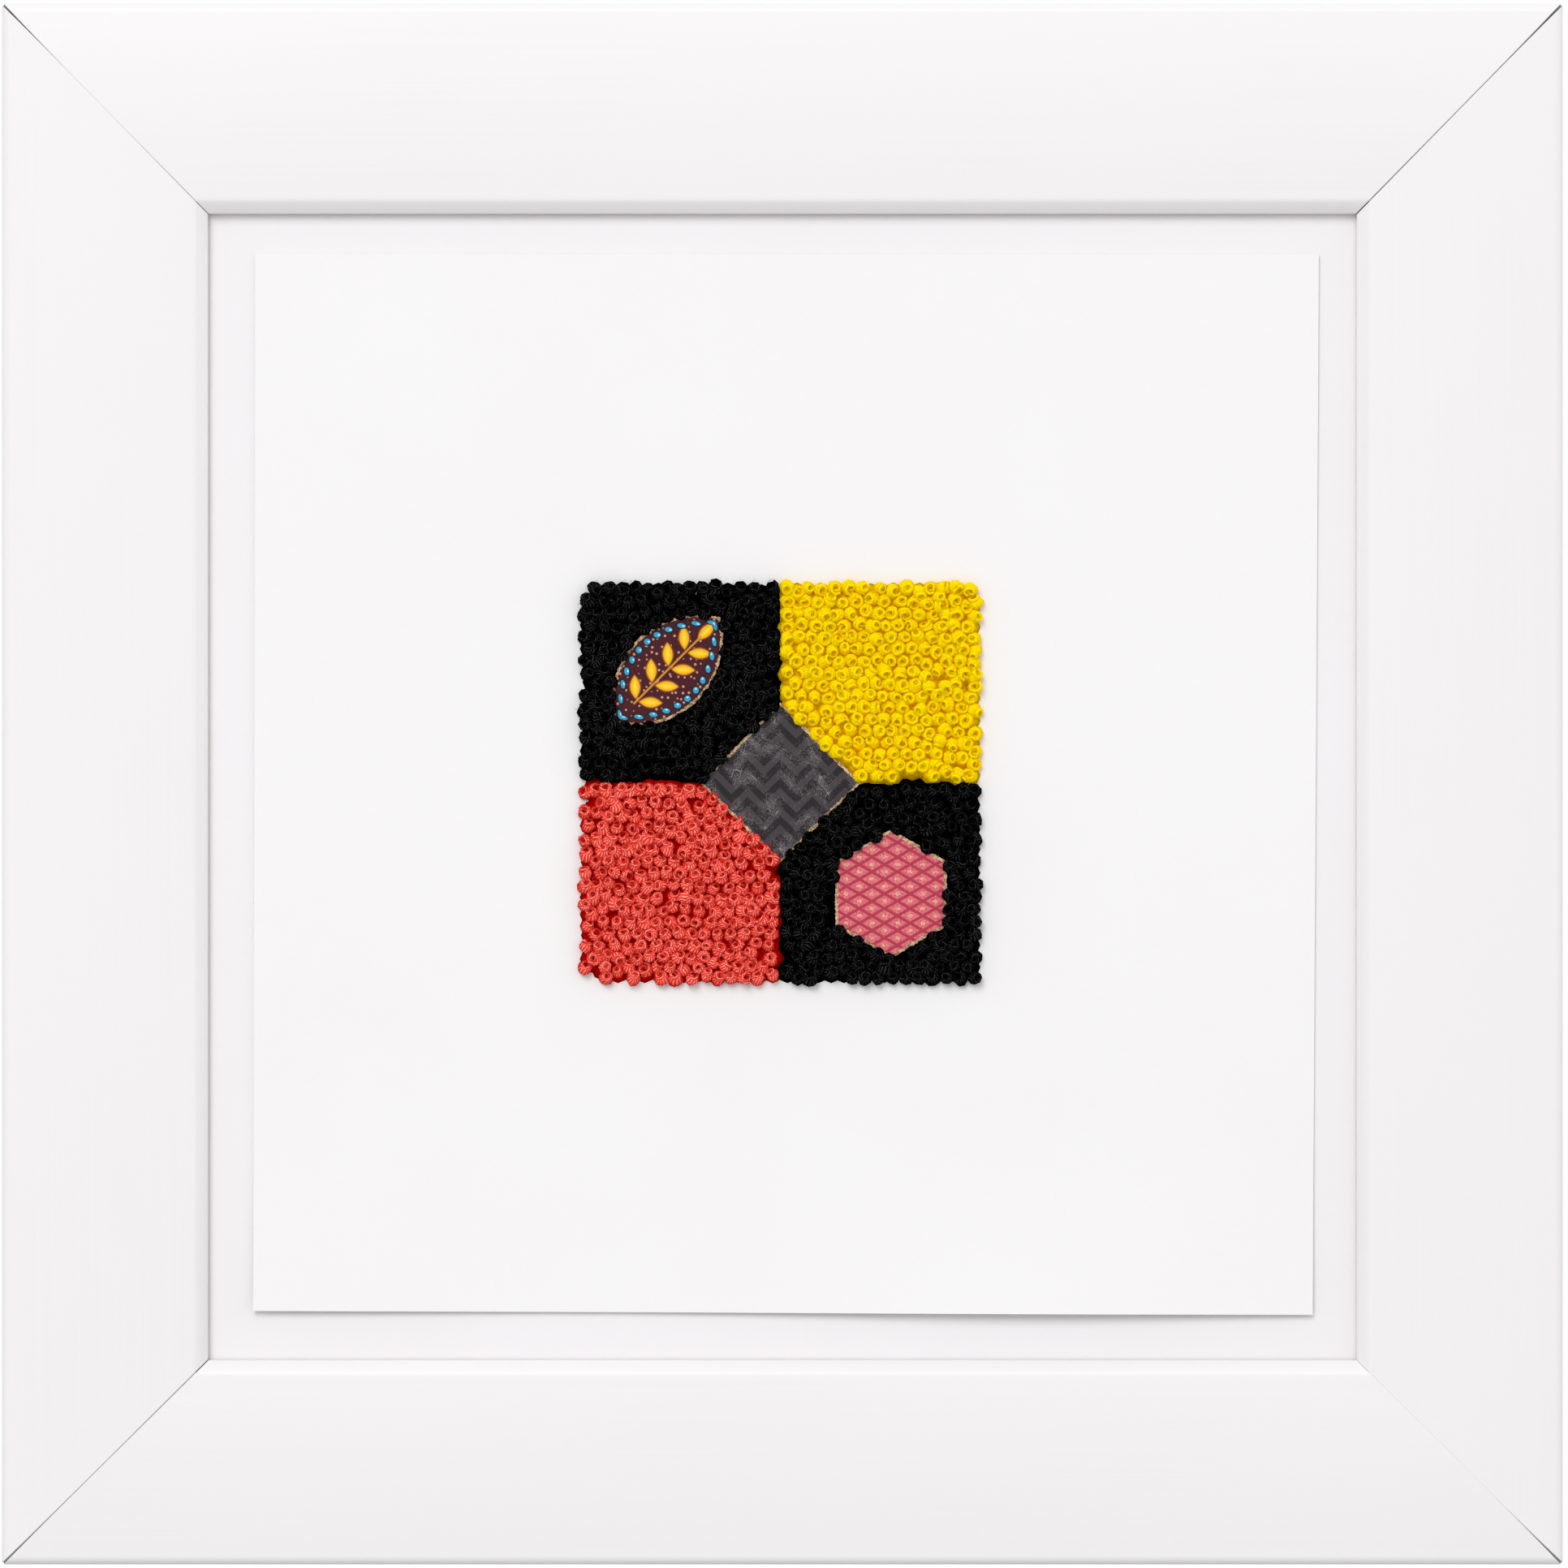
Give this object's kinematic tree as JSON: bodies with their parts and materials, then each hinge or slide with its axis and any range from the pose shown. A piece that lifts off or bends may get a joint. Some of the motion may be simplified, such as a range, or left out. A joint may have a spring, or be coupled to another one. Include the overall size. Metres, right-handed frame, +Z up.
{
  "type": "framed embroidered collage",
  "caption": "Square embroidered collage: fields of knotted cotton around printed card cut-outs, on floated paper, in a wide white mitred frame hung on a wall.",
  "frame": {"origin": "the middle of the top rail's back face, where the frame hangs on the wall", "axes": "+Z up, +Y into the wall, +X to the right of someone who looks at the work"},
  "size_m": [0.27, 0.0186, 0.27],
  "materials": {
    "white_lacquer": "satin white lacquer over a fine grain",
    "mount_board": "smooth matt off-white",
    "heavy_paper": "matt white, slightly toothed",
    "coral_cotton": "stranded cotton in tight French knots",
    "yellow_cotton": "soft cotton in tight French knots",
    "black_cotton": "matt cotton in tight French knots",
    "maroon_card": "printed card, maroon ground",
    "pink_card": "printed card, pink ground",
    "grey_card": "printed card, worn dark grey"
  },
  "bodies": {
    "root": {"rail_top": "white_lacquer", "rail_right": "white_lacquer", "rail_bottom": "white_lacquer", "rail_left": "white_lacquer", "mount_board": "mount_board", "paper_sheet": "heavy_paper", "card_diamond": "grey_card", "card_leaf": "maroon_card", "card_lattice": "pink_card", "knots_black_upper": "black_cotton", "knots_black_lower": "black_cotton", "knots_yellow": "yellow_cotton", "knots_coral": "coral_cotton"}
  },
  "joints": []
}
